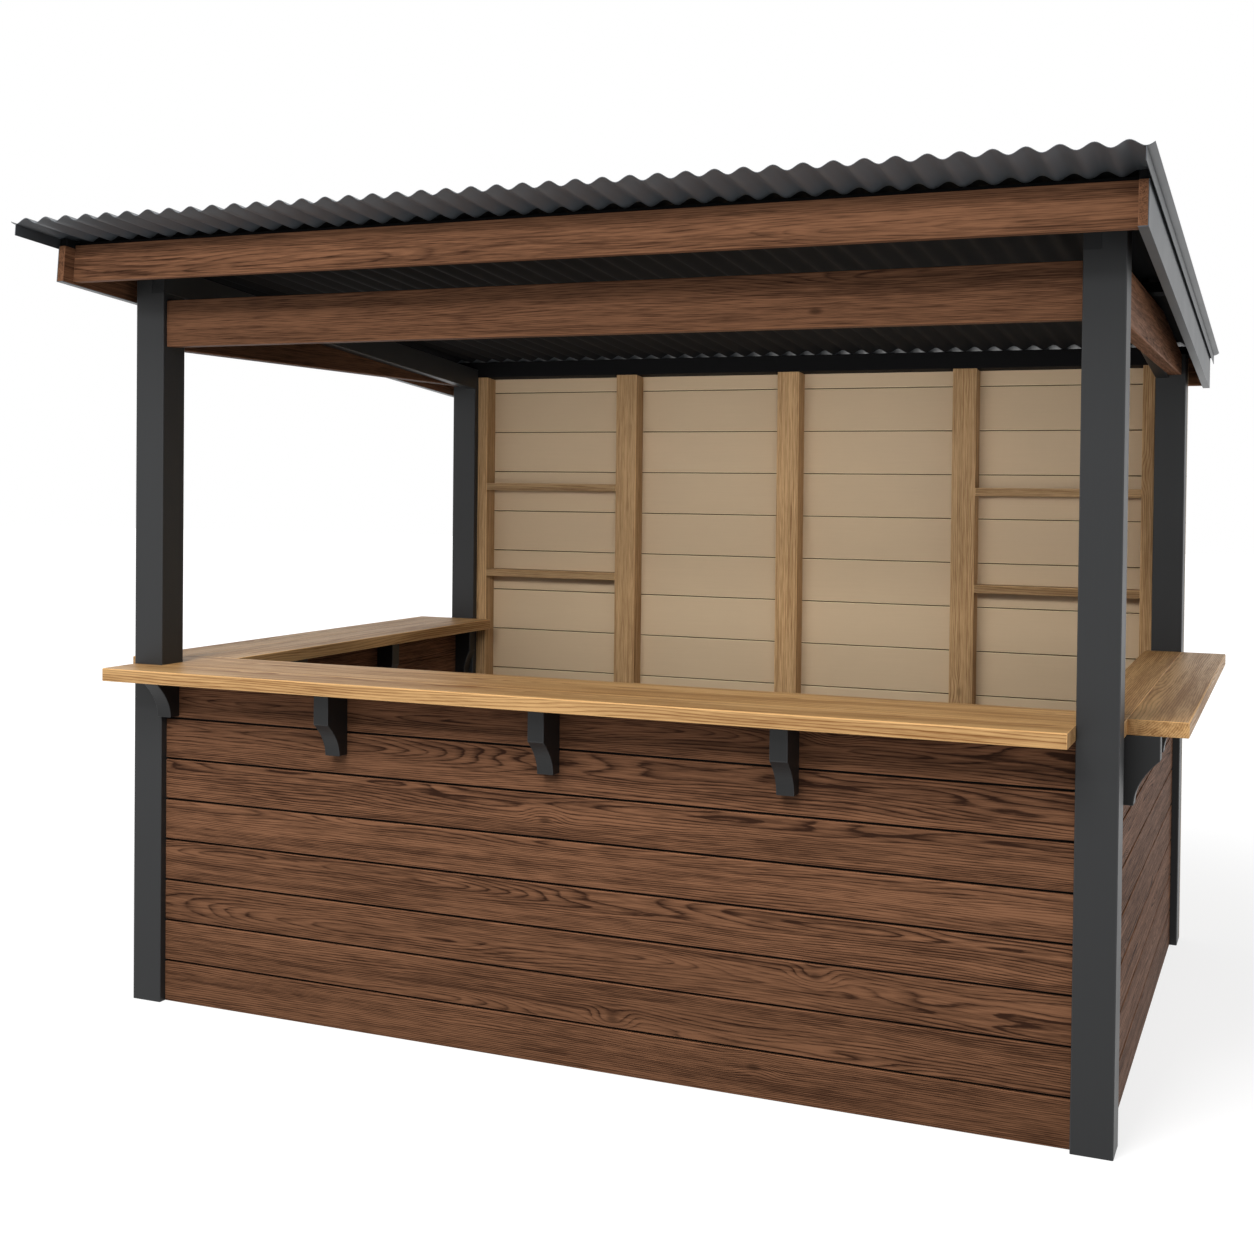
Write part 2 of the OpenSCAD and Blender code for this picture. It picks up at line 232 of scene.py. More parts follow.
def sawn_figure(tree, ring, wander, knots, fibres):
    """Rings, fibre, cloud and knot of sawn timber on its grain: along, across and through, in metres."""
    stretch = 9.0
    wander_across = 0.16
    knot_along, knot_across, knot_spread = 1.3, 0.3, 0.8
    knot_width, knot_turns = 0.055, 3.5
    core_heart, core_rim, core_share = 0.003, 0.014, 0.8
    clouds_per_metre = 12.0
    grain = add(tree, "ShaderNodeAttribute", out="Vector", attribute_name="grain")
    drawn = add(tree, "ShaderNodeVectorMath", {0: grain, 1: (1 / stretch, 1, 1)}, operation="MULTIPLY")
    # Slow drift of the pith, which draws the arches
    drift = add(tree, "ShaderNodeTexNoise", {"Vector": drawn, "Scale": 1 / wander_across, "Detail": 2.0},
                out="Color")
    swing = add(tree, "ShaderNodeVectorMath", {0: drift, 1: (0.5, 0.5, 0.5)}, operation="SUBTRACT")
    bent = add(tree, "ShaderNodeVectorMath", {0: swing, 1: (0, wander / 2, wander), 2: drawn},
               operation="MULTIPLY_ADD")
    # Knots: one in a cell, round across the board and drawn out a little along it
    cells = add(tree, "ShaderNodeVectorMath", {0: grain, 1: (1 / knot_along, 1 / knot_across, 0)},
                operation="MULTIPLY")
    spot = add(tree, "ShaderNodeTexVoronoi", {"Vector": cells, "Scale": 1.0, "Randomness": knot_spread},
               out="Position", voronoi_dimensions="2D")
    off = add(tree, "ShaderNodeVectorMath", {0: cells, 1: spot}, operation="SUBTRACT")
    round_off = add(tree, "ShaderNodeVectorMath", {0: off, 1: (knot_along / 2, knot_across, 0)},
                    operation="MULTIPLY")
    away = add(tree, "ShaderNodeVectorMath", {0: round_off}, operation="LENGTH", out="Value")
    pull = add(tree, "ShaderNodeMapRange", {"Value": away, 1: 0.0, 2: knot_width, 3: knots, 4: 0.0},
               interpolation_type="SMOOTHERSTEP")
    turn = add(tree, "ShaderNodeMath", {0: pull, 1: 2 * pi * knot_turns}, operation="MULTIPLY")
    core = add(tree, "ShaderNodeMapRange",
               {"Value": away, 1: core_heart, 2: core_rim, 3: knots * core_share, 4: 0.0},
               interpolation_type="SMOOTHSTEP")
    # Rings round the drifting pith, turned round the knots, and wider than real ones so that they show
    rings = add(tree, "ShaderNodeTexWave",
                {"Vector": bent, "Scale": 2 * pi / (WAVE_TURNS * ring), "Distortion": 3.0, "Detail": 5.0,
                 "Detail Scale": 0.5, "Detail Roughness": 0.62, "Phase Offset": turn},
                out="Fac", wave_type="RINGS", rings_direction="X", wave_profile="SAW")
    # Fibre in three widths, each a long way along the grain
    fibre = 0.0
    for width, length, share in fibres:
        strands = add(tree, "ShaderNodeVectorMath", {0: grain, 1: (1 / length, 1 / width, 1 / width)},
                      operation="MULTIPLY")
        thread = add(tree, "ShaderNodeTexNoise",
                     {"Vector": strands, "Scale": 1.0, "Detail": 2.0, "Roughness": 0.6}, out="Fac")
        fibre = add(tree, "ShaderNodeMath", {0: thread, 1: share, 2: fibre}, operation="MULTIPLY_ADD")
    cloud = add(tree, "ShaderNodeTexNoise", {"Vector": drawn, "Scale": clouds_per_metre, "Detail": 3.0},
                out="Fac")
    return rings, fibre, cloud, core


def sawn_timber(name, light, dark, ring, wander, knots, depth, wear_and_highlight_by, roughness, relief, level,
                fibres=FINE_FIBRE):
    """Sawn timber between two colours, for the stained and the oiled woods."""
    thin_cloud, thick_cloud, thin_share = 0.3, 0.7, 0.5
    low_fibre, high_fibre, fibre_dark, fibre_pale = 0.4, 0.6, 0.65, -0.15
    tone_step, base_value, cloud_share = 0.1, 0.82, 0.36
    knot_shade, wear_and_highlight_share = 0.45, 1.6
    # Near black in the board grooves: dark stain and painted shade
    groove_stain_and_shade = linear("#050302")
    bump, pore_gloss, late_gloss = 0.5, -0.06, 0.1
    made, tree = blank_material(name)
    wear_and_highlight_mask, groove, tone = marks(tree)
    rings, fibre, cloud, core = sawn_figure(tree, ring, wander, knots, fibres)
    # Late wood: a thin line that the fibre breaks up, fainter where the cloud is thin
    line = add(tree, "ShaderNodeValToRGB", {"Fac": rings},
               stops=[(place, (share, share, share, 1)) for place, share in LATE_WOOD])
    veil = add(tree, "ShaderNodeMapRange",
               {"Value": cloud, 1: thin_cloud, 2: thick_cloud, 3: depth * thin_share, 4: depth})
    drawn = add(tree, "ShaderNodeMath", {0: line, 1: veil}, operation="MULTIPLY")
    thread = add(tree, "ShaderNodeMapRange",
                 {"Value": fibre, 1: low_fibre, 2: high_fibre, 3: fibre_dark, 4: fibre_pale})
    dim = add(tree, "ShaderNodeMath", {0: drawn, 1: thread}, operation="ADD", use_clamp=True)
    wood = add(tree, "ShaderNodeMix", {"Factor": dim, "A": light, "B": dark}, data_type="RGBA")
    lift = add(tree, "ShaderNodeMath", {0: tone, 1: tone_step, 2: base_value}, operation="MULTIPLY_ADD")
    value = add(tree, "ShaderNodeMath", {0: cloud, 1: cloud_share, 2: lift}, operation="MULTIPLY_ADD")
    lit = add(tree, "ShaderNodeHueSaturation", {"Value": value, "Color": wood})
    knotted = add(tree, "ShaderNodeMix", {"Factor": core, "A": lit, "B": shaded(dark, knot_shade)},
                  data_type="RGBA")
    deep = edged_colour(tree, knotted, wear_and_highlight_mask, wear_and_highlight_by, shaded(light, wear_and_highlight_share), groove, groove_stain_and_shade)
    height = add(tree, "ShaderNodeMath", {0: dim, 1: -1.0}, operation="MULTIPLY")
    normal = add(tree, "ShaderNodeBump", {"Strength": bump, "Distance": relief, "Height": height})
    gloss = add(tree, "ShaderNodeMapRange",
                {"Value": dim, 3: roughness + pore_gloss, 4: roughness + late_gloss})
    finish_surface(tree, deep, gloss, normal, level)
    return made


@cache
def walnut_stained_softwood():
    """Softwood boards under a walnut stain: dark late wood drawn in arches, knots, and edges paled by wear and
    a painted highlight.
    """
    colours = bpy.context.scene.stall_colours
    return sawn_timber("walnut_stained_softwood", list(colours.walnut_light), list(colours.walnut_dark),
                       ring=0.0048, wander=0.13, knots=0.7, depth=1.0, wear_and_highlight_by=0.3, roughness=0.62,
                       relief=0.0005, level=0.08)


@cache
def walnut_stained_trim():
    """Planed softwood of the beams and roof boards under the same stain: close, faint rings and fine fibre."""
    colours = bpy.context.scene.stall_colours
    return sawn_timber("walnut_stained_trim", list(colours.walnut_light), list(colours.walnut_dark),
                       ring=0.004, wander=0.1, knots=0.8, depth=0.5, wear_and_highlight_by=0.3, roughness=0.62,
                       relief=0.0004, level=0.08)


@cache
def oiled_oak():
    """Planed oak under hard oil: close rings, a streaked grain and a soft satin sheen."""
    colours = bpy.context.scene.stall_colours
    return sawn_timber("oiled_oak", list(colours.oak_light), list(colours.oak_dark),
                       ring=0.0055, wander=0.1, knots=0.3, depth=0.9, wear_and_highlight_by=0.6, roughness=0.5,
                       relief=0.0003, level=0.3, fibres=STREAKED_FIBRE)


@cache
def weathered_oak():
    """Bare oak of the studs and shelves, darker and more matt than the counters."""
    colours = bpy.context.scene.stall_colours
    return sawn_timber("weathered_oak", list(colours.stud_light), list(colours.stud_dark),
                       ring=0.0065, wander=0.1, knots=0.5, depth=0.8, wear_and_highlight_by=0.35, roughness=0.62,
                       relief=0.0004, level=0.2)


def painted_timber(name, paint, wear_and_highlight_by, brush, roughness, level=0.35):
    """Brushed paint on planed timber, in which the fibre still shows as faint lines."""
    stretch = 40.0
    # Brush lines are finer than a pixel, so they are drawn 5 mm wide
    line_width = 0.005
    clouds_per_metre = 7.0
    tone_step = 0.04
    wear_and_highlight_share = 2.2
    # Dark tint in the board grooves: painted shade
    groove_shade_tint = (0.26, 0.2, 0.15, 1)
    bump, relief, gloss_swing = 0.3, 0.0003, 0.07
    made, tree = blank_material(name)
    wear_and_highlight_mask, groove, tone = marks(tree)
    grain = add(tree, "ShaderNodeAttribute", out="Vector", attribute_name="grain")
    strands = add(tree, "ShaderNodeVectorMath", {0: grain, 1: (1 / stretch, 1, 1)}, operation="MULTIPLY")
    fibre = add(tree, "ShaderNodeTexNoise",
                {"Vector": strands, "Scale": 1 / line_width, "Detail": 3.0, "Roughness": 0.6}, out="Fac")
    cloud = add(tree, "ShaderNodeTexNoise", {"Vector": grain, "Scale": clouds_per_metre, "Detail": 3.0},
                out="Fac")
    lift = add(tree, "ShaderNodeMath", {0: tone, 1: tone_step, 2: 1 - brush}, operation="MULTIPLY_ADD")
    streak = add(tree, "ShaderNodeMath", {0: fibre, 1: brush, 2: lift}, operation="MULTIPLY_ADD")
    value = add(tree, "ShaderNodeMath", {0: cloud, 1: brush, 2: streak}, operation="MULTIPLY_ADD")
    lit = add(tree, "ShaderNodeHueSaturation", {"Value": value, "Color": paint})
    painted_shade_colour = [c * share for c, share in zip(paint, groove_shade_tint)]
    deep = edged_colour(tree, lit, wear_and_highlight_mask, wear_and_highlight_by, shaded(paint, wear_and_highlight_share), groove, painted_shade_colour)
    normal = add(tree, "ShaderNodeBump", {"Strength": bump, "Distance": relief, "Height": fibre})
    gloss = add(tree, "ShaderNodeMapRange",
                {"Value": cloud, 3: roughness - gloss_swing, 4: roughness + gloss_swing})
    finish_surface(tree, deep, gloss, normal, level)
    return made


@cache
def charcoal_paint():
    """Satin charcoal paint on planed posts: nearly black, with a soft sheen and arrises greyer from wear and a
    painted highlight.
    """
    return painted_timber("charcoal_satin_paint", list(bpy.context.scene.stall_colours.charcoal),
                          wear_and_highlight_by=0.35, brush=0.12, roughness=0.45)


@cache
def black_stain():
    """Black stain on the timbers under the roof: matt, and lost in the shade of the sheet."""
    return painted_timber("black_stained_timber", list(bpy.context.scene.stall_colours.black),
                          wear_and_highlight_by=0.2, brush=0.15, roughness=0.7, level=0.1)


@cache
def tan_paint():
    """Matt tan paint on the back boards: even, with faint brush lines along the boards."""
    return painted_timber("tan_matt_paint", list(bpy.context.scene.stall_colours.tan_paint),
                          wear_and_highlight_by=0.3, brush=0.07, roughness=0.62)


@cache
def coated_steel():
    """Roll-formed steel with a charcoal coating, half matt with a faint bloom, its folds paled by wear and a
    painted highlight; near-black, matt painted shade on its underside.
    """
    blooms_per_metre = 5.0
    # The grit of the coating is finer than a pixel, so it is drawn about 6 mm wide
    specks_per_metre = 160.0
    tone_step, base_value, bloom_share, speck_share = 0.1, 0.8, 0.3, 0.1
    wear_and_highlight_by, wear_and_highlight_share = 0.4, 2.4
    # Gloss and level of the coat, and of the painted shade under the sheet
    coat_gloss, bloom_gloss, painted_shade_gloss = 0.36, 0.5, 0.4
    coat_level, painted_shade_level = 0.6, 0.08
    bump, relief = 0.15, 0.0002
    colours = bpy.context.scene.stall_colours
    paint = list(colours.roof_metal)
    made, tree = blank_material("charcoal_coated_steel")
    wear_and_highlight_mask, groove, tone = marks(tree)
    place = add(tree, "ShaderNodeTexCoord", out="Object")
    bloom = add(tree, "ShaderNodeTexNoise", {"Vector": place, "Scale": blooms_per_metre, "Detail": 4.0},
                out="Fac")
    speck = add(tree, "ShaderNodeTexNoise", {"Vector": place, "Scale": specks_per_metre, "Detail": 2.0},
                out="Fac")
    piece = add(tree, "ShaderNodeMath", {0: tone, 1: tone_step, 2: base_value}, operation="MULTIPLY_ADD")
    lift = add(tree, "ShaderNodeMath", {0: bloom, 1: bloom_share, 2: piece}, operation="MULTIPLY_ADD")
    value = add(tree, "ShaderNodeMath", {0: speck, 1: speck_share, 2: lift}, operation="MULTIPLY_ADD")
    lit = add(tree, "ShaderNodeHueSaturation", {"Value": value, "Color": paint})
    # Paler folds for wear and a painted highlight; near-black painted shade under the sheet
    shade_painted = edged_colour(tree, lit, wear_and_highlight_mask, wear_and_highlight_by, shaded(paint, wear_and_highlight_share), groove, list(colours.painted_shade_fleece))
    gloss = add(tree, "ShaderNodeMapRange", {"Value": bloom, 3: coat_gloss, 4: bloom_gloss})
    matted = add(tree, "ShaderNodeMath", {0: groove, 1: painted_shade_gloss, 2: gloss}, operation="MULTIPLY_ADD")
    level = add(tree, "ShaderNodeMapRange", {"Value": groove, 3: coat_level, 4: painted_shade_level})
    normal = add(tree, "ShaderNodeBump", {"Strength": bump, "Distance": relief, "Height": speck})
    finish_surface(tree, shade_painted, matted, normal, level)
    return made


def marked_mesh():
    """Empty bmesh with the layers that the finishes read: grain, tone and edge."""
    bm = bmesh.new()
    bm.verts.layers.float_vector.new("grain")
    bm.verts.layers.float.new("tone")
    bm.faces.layers.float.new("edge")
    return bm


def solid_of(node):
    """Copy of a CAD node's mesh, merged and with its triangles joined into whole flat faces."""
    bm = marked_mesh()
    bm.from_mesh(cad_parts[node].data)
    bmesh.ops.remove_doubles(bm, verts=bm.verts, dist=MERGE_GAP)
    bmesh.ops.dissolve_limit(bm, angle_limit=FLAT_ANGLE, verts=bm.verts, edges=bm.edges)
    return bm


def arrises(bm, shortest=0.0):
    """Edges that turn a corner and are longer than the shortest."""
    return [e for e in bm.edges if e.calc_face_angle(0) > ARRIS_ANGLE and e.calc_length() > shortest]


def ease(bm, edges, width):
    """Rounds these edges and marks the new faces, which are paled for wear and a painted highlight."""
    edge = bm.faces.layers.float["edge"]
    cut = bmesh.ops.bevel(bm, geom=edges, offset=width, offset_type="OFFSET", affect="EDGES",
                          segments=EASE_SEGMENTS, profile=0.5, material=-1)
    for face in cut["faces"]:
        face.smooth = True
        face[edge] = WEAR_AND_HIGHLIGHT


def drawn_out(bm, section, run):
    """Bar whose section is drawn out along the run, as its vertices."""
    before = set(bm.verts)
    start = bm.faces.new([bm.verts.new(point) for point in section])
    grown = bmesh.ops.extrude_face_region(bm, geom=[start], use_keep_orig=True)
    moved = [v for v in grown["geom"] if isinstance(v, bmesh.types.BMVert)]
    bmesh.ops.translate(bm, verts=moved, vec=run)
    return [v for v in bm.verts if v not in before]


def lay_tone(bm, verts, shade):
    """Gives these vertices one tone."""
    tone = bm.verts.layers.float["tone"]
    for v in verts:
        v[tone] = shade


def lay_grain(bm, verts, along, across, draw, lift=0.0):
    """Gives one timber its grain, cut from a place of its own in the log, and its tone."""
    grain = bm.verts.layers.float_vector["grain"]
    through = along.cross(across)
    middle = sum((v.co for v in verts), Vector()) / len(verts)
    cut = Vector((draw.uniform(0, LOG_LENGTH), draw.uniform(-PITH_ASIDE, PITH_ASIDE),
                  draw.uniform(*PITH_DEPTH)))
    lay_tone(bm, verts, draw.uniform(-1, 1) + lift)
    for v in verts:
        place = v.co - middle
        v[grain] = Vector((place.dot(along), place.dot(across), place.dot(through))) + cut


def new_piece(name, bm, material, nodes=()):
    """Finished piece that rides on the stall and stands for these CAD nodes."""
    mesh = bpy.data.meshes.new(name)
    bm.to_mesh(mesh)
    bm.free()
    mesh.materials.clear()
    mesh.materials.append(material)
    piece = bpy.data.objects.new(name, mesh)
    bpy.context.scene.collection.objects.link(piece)
    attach(piece, "root")
    if nodes:
        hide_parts(*nodes)
    return piece


def timber(node, along, across, width, material, lift=0.0, shortest=0.0):
    """Timber of one CAD node with its longer arrises rounded, its grain laid along it and its tone lifted,
    which on the fascias, side beams and brackets is painted light and shade.
    """
    bm = solid_of(node)
    ease(bm, arrises(bm, shortest), width)
    lay_grain(bm, bm.verts[:], along, across, random.Random(f"{GRAIN_SEED} {node}"), lift)
    return new_piece(f"{node}_timber", bm, material, [node])


def roof_fall(sizes):
    """Direction down the slope of the roof, towards the back."""
    return Vector((0, cos(sizes.roof_pitch), -sin(sizes.roof_pitch)))


def boards(node, run, inward, pitch, gap, material):
    """Lapped boards in place of one CAD wall, with an open groove between two of them."""
    sizes = bpy.context.scene.stall_sizes
    low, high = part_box(node)
    length = abs((high - low).dot(run))
    depth = abs((high - low).dot(inward))
    height = high.z - low.z
    corner = Vector([low[i] if (run + inward)[i] >= 0 else high[i] for i in range(3)])
    corner.z = low.z
    lip = sizes.board_lip
    lap = sizes.board_lap
    clearance = gap / 4
    # Whole boards from the ground up, the last one cut off at the top of the wall
    count = max(1, ceil((height - gap) / pitch))
    draw = random.Random(f"{GRAIN_SEED} {node}")
    whole = marked_mesh()
    edge = whole.faces.layers.float["edge"]
    for i in range(count):
        bottom = i * pitch + (gap / 2 if i else 0)
        top = height if i == count - 1 else (i + 1) * pitch - gap / 2
        section = [(0, bottom), (0, top)]
        if i < count - 1:
            section += [(lip, top), (lip, top + gap + lap)]
        section += [(depth, top + (gap + lap if i < count - 1 else 0))]
        if i:
            section += [(depth, bottom + lap + gap / 2), (lip + clearance, bottom + lap + gap / 2),
                        (lip + clearance, bottom)]
        else:
            section += [(depth, bottom)]
        before = set(whole.verts)
        made = drawn_out(whole, [corner + inward * u + UP * v for u, v in section], run * length)
        faces = {f for v in made for f in v.link_faces}
        bmesh.ops.recalc_face_normals(whole, faces=list(faces))
        for face in faces:
            inner = [(v.co - corner).dot(inward) for v in face.verts]
            # Faces deep in the groove get painted shade
            if min(inner) > lip - gap and max(inner) < depth - gap:
                face[edge] = PAINTED_SHADE
        outline = [e for e in {e for v in made for e in v.link_edges}
                   if all((v.co - corner).dot(inward) < clearance for v in e.verts)]
        ease(whole, outline, sizes.board_ease)
        lay_grain(whole, [v for v in whole.verts if v not in before], run, UP, draw)
    return new_piece(f"{node}_boards", whole, material, [node])


class STALL_OT_posts(bpy.types.Operator):
    """Four square corner posts in charcoal paint"""

    bl_idname = "stall.posts"
    bl_label = "Corner posts"

    def execute(self, context):
        for node in ("post_front_left", "post_front_right", "post_back_left", "post_back_right"):
            timber(node, UP, EAST, context.scene.stall_sizes.timber_ease, charcoal_paint(),
                   shortest=LONG_EDGE)
        return {"FINISHED"}


class STALL_OT_beams(bpy.types.Operator):
    """Stained beams over the openings and the charcoal rafters beside them"""

    bl_idname = "stall.beams"
    bl_label = "Beams and rafters"

    def execute(self, context):
        sizes = context.scene.stall_sizes
        fall = roof_fall(sizes)
        timber("front_beam", EAST, UP, sizes.timber_ease, walnut_stained_trim(), BEAM_LIFT)
        # Painted shade darkens the left beam, and painted light lightens the right one
        for side, lift in (("left", SHADE_LIFT), ("right", TRIM_PAINTED_LIGHT)):
            timber(f"{side}_beam", NORTH, UP, sizes.timber_ease, walnut_stained_trim(),
                   lift)
            timber(f"{side}_rafter", fall, EAST, sizes.timber_ease, charcoal_paint(),
                   shortest=LONG_EDGE)
        return {"FINISHED"}


class STALL_OT_half_walls(bpy.types.Operator):
    """Lapped walnut boards of the front and side half walls"""

    bl_idname = "stall.half_walls"
    bl_label = "Half walls"

    def execute(self, context):
        sizes = context.scene.stall_sizes
        low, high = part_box("front_wall")
        pitch = (high.z - low.z) / sizes.board_count
        for node, run, inward in (("front_wall", EAST, NORTH), ("left_wall", NORTH, EAST),
                                  ("right_wall", NORTH, -EAST)):
            boards(node, run, inward, pitch, sizes.board_gap, walnut_stained_softwood())
        return {"FINISHED"}


class STALL_OT_back_wall(bpy.types.Operator):
    """Lapped tan boards of the back wall"""

    bl_idname = "stall.back_wall"
    bl_label = "Back wall"

    def execute(self, context):
        sizes = context.scene.stall_sizes
        boards("back_wall", EAST, NORTH, sizes.back_pitch, sizes.back_gap, tan_paint())
        return {"FINISHED"}


class STALL_OT_studs(bpy.types.Operator):
    """Oak studs in front of the back wall and the shelves between them"""

    bl_idname = "stall.studs"
    bl_label = "Studs and shelves"

    def execute(self, context):
        width = context.scene.stall_sizes.plank_ease
        stud_count = 5
        for i in range(1, stud_count + 1):
            timber(f"back_stud_{i}", UP, EAST, width, weathered_oak())
        for side in ("left", "right"):
            for level in ("upper", "lower"):
                timber(f"shelf_{side}_{level}", EAST, NORTH, width, weathered_oak(), SHELF_LIFT)
        return {"FINISHED"}


class STALL_OT_counters(bpy.types.Operator):
    """Oiled oak planks of the three counters"""

    bl_idname = "stall.counters"
    bl_label = "Counters"

    def execute(self, context):
        width = context.scene.stall_sizes.plank_ease
        for place in ("outer", "inner"):
            timber(f"front_counter_{place}", EAST, NORTH, width, oiled_oak())
            for side in ("left", "right"):
                timber(f"{side}_counter_{place}", NORTH, EAST, width, oiled_oak())
        return {"FINISHED"}


class STALL_OT_brackets(bpy.types.Operator):
    """Coved brackets under the counters in charcoal paint"""

    bl_idname = "stall.brackets"
    bl_label = "Brackets"

    def execute(self, context):
        width = context.scene.stall_sizes.board_ease
        # Painted shade darkens the brackets under the counters
        for node in ("front_brackets", "left_outer_brackets", "left_inner_brackets",
                     "right_outer_brackets", "right_inner_brackets"):
            timber(node, UP, EAST, width, charcoal_paint(), BRACKET_PAINTED_SHADE)
        return {"FINISHED"}


class STALL_OT_roof_boards(bpy.types.Operator):
    """Fascia and barge boards round the roof, stained walnut, and the purlins under the sheet"""

    bl_idname = "stall.roof_boards"
    bl_label = "Fascias, barge boards and purlins"

    def execute(self, context):
        sizes = context.scene.stall_sizes
        fall = roof_fall(sizes)
        # Painted light on the front and rear fascias
        for node in ("front_fascia", "rear_fascia"):
            timber(node, EAST, UP, sizes.board_ease, walnut_stained_trim(), TRIM_PAINTED_LIGHT)
        for node in ("left_barge", "right_barge"):
            timber(node, fall, EAST, sizes.board_ease, walnut_stained_trim(), BEAM_LIFT)
        for node in ("front_purlin", "middle_purlin", "rear_purlin"):
            timber(node, EAST, UP, sizes.board_ease, black_stain())
        self.battens(sizes, fall)
        return {"FINISHED"}

    def battens(self, sizes, fall):
        """Battens that stand on the barge boards and close them to the sheet."""
        rise = EAST.cross(fall)
        bm = marked_mesh()
        for node, out in (("left_barge", -EAST), ("right_barge", EAST)):
            barge = solid_of(node)
            places = [Vector((v.co.dot(out), v.co.dot(fall), v.co.dot(rise))) for v in barge.verts]
            barge.free()
            inner, near = (min(place[i] for place in places) for i in (0, 1))
            outer, far, seat = (max(place[i] for place in places) for i in (0, 1, 2))
            outer += sizes.batten_lap
            near += sizes.batten_set
            top = seat + sizes.batten_height
            section = [out * x + fall * near + rise * z
                       for x, z in ((inner, seat), (outer, seat), (outer, top), (inner, top))]
            made = drawn_out(bm, section, fall * (far - near))
            lay_grain(bm, made, fall, EAST, random.Random(f"{GRAIN_SEED} {node} batten"))
        bmesh.ops.recalc_face_normals(bm, faces=bm.faces)
        ease(bm, bm.edges[:], sizes.board_ease)
        return new_piece("barge_battens", bm, black_stain())


class STALL_OT_roof_metal(bpy.types.Operator):
    """Corrugated sheet, its verge trims, the covers on the barge boards and the roof screws"""

    bl_idname = "stall.roof_metal"
    bl_label = "Roof metal"

    def execute(self, context):
        sizes = context.scene.stall_sizes
        # Painted shade darkens the barge covers and the verges
        for node, lift in (("left_barge_cover", COVER_PAINTED_SHADE), ("right_barge_cover", COVER_PAINTED_SHADE),
                           ("left_verge", VERGE_PAINTED_SHADE), ("right_verge", VERGE_PAINTED_SHADE)):
            bm = solid_of(node)
            ease(bm, arrises(bm), sizes.metal_ease)
            lay_tone(bm, bm.verts, lift)
            new_piece(f"{node}_steel", bm, coated_steel(), [node])
        sheet = solid_of("roof_sheet")
        # Painted shade under the sheet, near black and matt, lies between the barge boards, from the front
        # purlin to the rear one
        fall = roof_fall(sizes)
        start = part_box("front_purlin")[0]
        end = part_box("rear_purlin")[0]
        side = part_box("right_barge")[0].x
        for place in (start, end):
            bmesh.ops.bisect_plane(sheet, geom=sheet.verts[:] + sheet.edges[:] + sheet.faces[:],
                                   dist=MERGE_GAP, plane_co=place, plane_no=fall)
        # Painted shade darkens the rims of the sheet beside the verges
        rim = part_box("right_verge")[0].x
        lay_tone(sheet, [v for v in sheet.verts if abs(v.co.x) > rim], VERGE_PAINTED_SHADE)
        edge = sheet.faces.layers.float["edge"]
        for face in sheet.faces:
            face.smooth = True
            middle = face.calc_center_median()
            shade_painted = (middle - start).dot(fall) > 0 > (middle - end).dot(fall) and abs(middle.x) < side
            if shade_painted and face.normal.z < 0:
                face[edge] = PAINTED_SHADE
        for e in sheet.edges:
            e.smooth = e.calc_face_angle(0) < ARRIS_ANGLE
        self.screws(sheet, sizes)
        new_piece("roof_sheet_steel", sheet, coated_steel(), ["roof_sheet"])
        return {"FINISHED"}

    def screws(self, sheet, sizes):
        """Screws with washers on every second crest, over the three purlins."""
        tree = BVHTree.FromBMesh(sheet)
        low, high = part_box("roof_sheet")
        reach = int((high.x - low.x) / 2 / sizes.corrugation)
        # Height, sides and taper of the two cones
        washer_t, washer_sides, washer_taper = 0.002, 12, 0.42
        head_t, head_sides, head_taper = 0.005, 6, 0.45
        above = 1.0
        bm = bmesh.new()
        for purlin in ("front_purlin", "middle_purlin", "rear_purlin"):
            near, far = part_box(purlin)
            for crest in range(-reach + 1, reach, 2):
                over = Vector((crest * sizes.corrugation, (near.y + far.y) / 2, high.z + above))
                spot = tree.ray_cast(over, -UP)[0]
                turn = Matrix.Translation(spot) @ Matrix.Rotation(-sizes.roof_pitch, 4, "X")
                bmesh.ops.create_cone(
                    bm, cap_ends=True, segments=washer_sides, radius1=sizes.screw_washer / 2,
                    radius2=sizes.screw_washer * washer_taper, depth=washer_t,
                    matrix=turn @ Matrix.Translation(UP * washer_t / 2))
                bmesh.ops.create_cone(
                    bm, cap_ends=True, segments=head_sides, radius1=sizes.screw_head / 2,
                    radius2=sizes.screw_head * head_taper, depth=head_t,
                    matrix=turn @ Matrix.Translation(UP * (washer_t + head_t / 2)))
        return new_piece("roof_screws", bm, coated_steel())


# Camera: fitted to the edges of the stall in the photograph
PHOTO_SIDE = 1254
SENSOR = 36.0
FOCUS_PIXELS = 1609.1
AXIS_PIXEL_Y = 514.1
CAMERA_EAST = 1.9156
CAMERA_FORE = 4.0777
CAMERA_HEIGHT = 1.6422
CAMERA_YAW = 0.40083
CAMERA_PITCH = -0.01731
CAMERA_ROLL = 0.01045

# Soft boxes: place, target, width and height in metres, watts, and spread in degrees
LAMPS = {
    "key_light": ((-0.5, -6.9, 8.1), (0, 0, 1.1), 3.0, 3.0, 525, 180),
    "front_light": ((-0.2, -5.0, 3.6), (-0.2, 0, 1.2), 4.0, 0.5, 98, 180),
    "side_light": ((6.5, -1.5, 0.85), (0, 0, 1.1), 3.5, 0.5, 30, 180),
    "inner_light": ((0, -0.5, 1.85), (0, 1.2, 1.4), 2.4, 0.3, 8.5, 110),
}
# Light of the surround on the stall, and of the floor to the eye
SURROUND_STRENGTH = 0.36
FLOOR_STRENGTH = 1.2


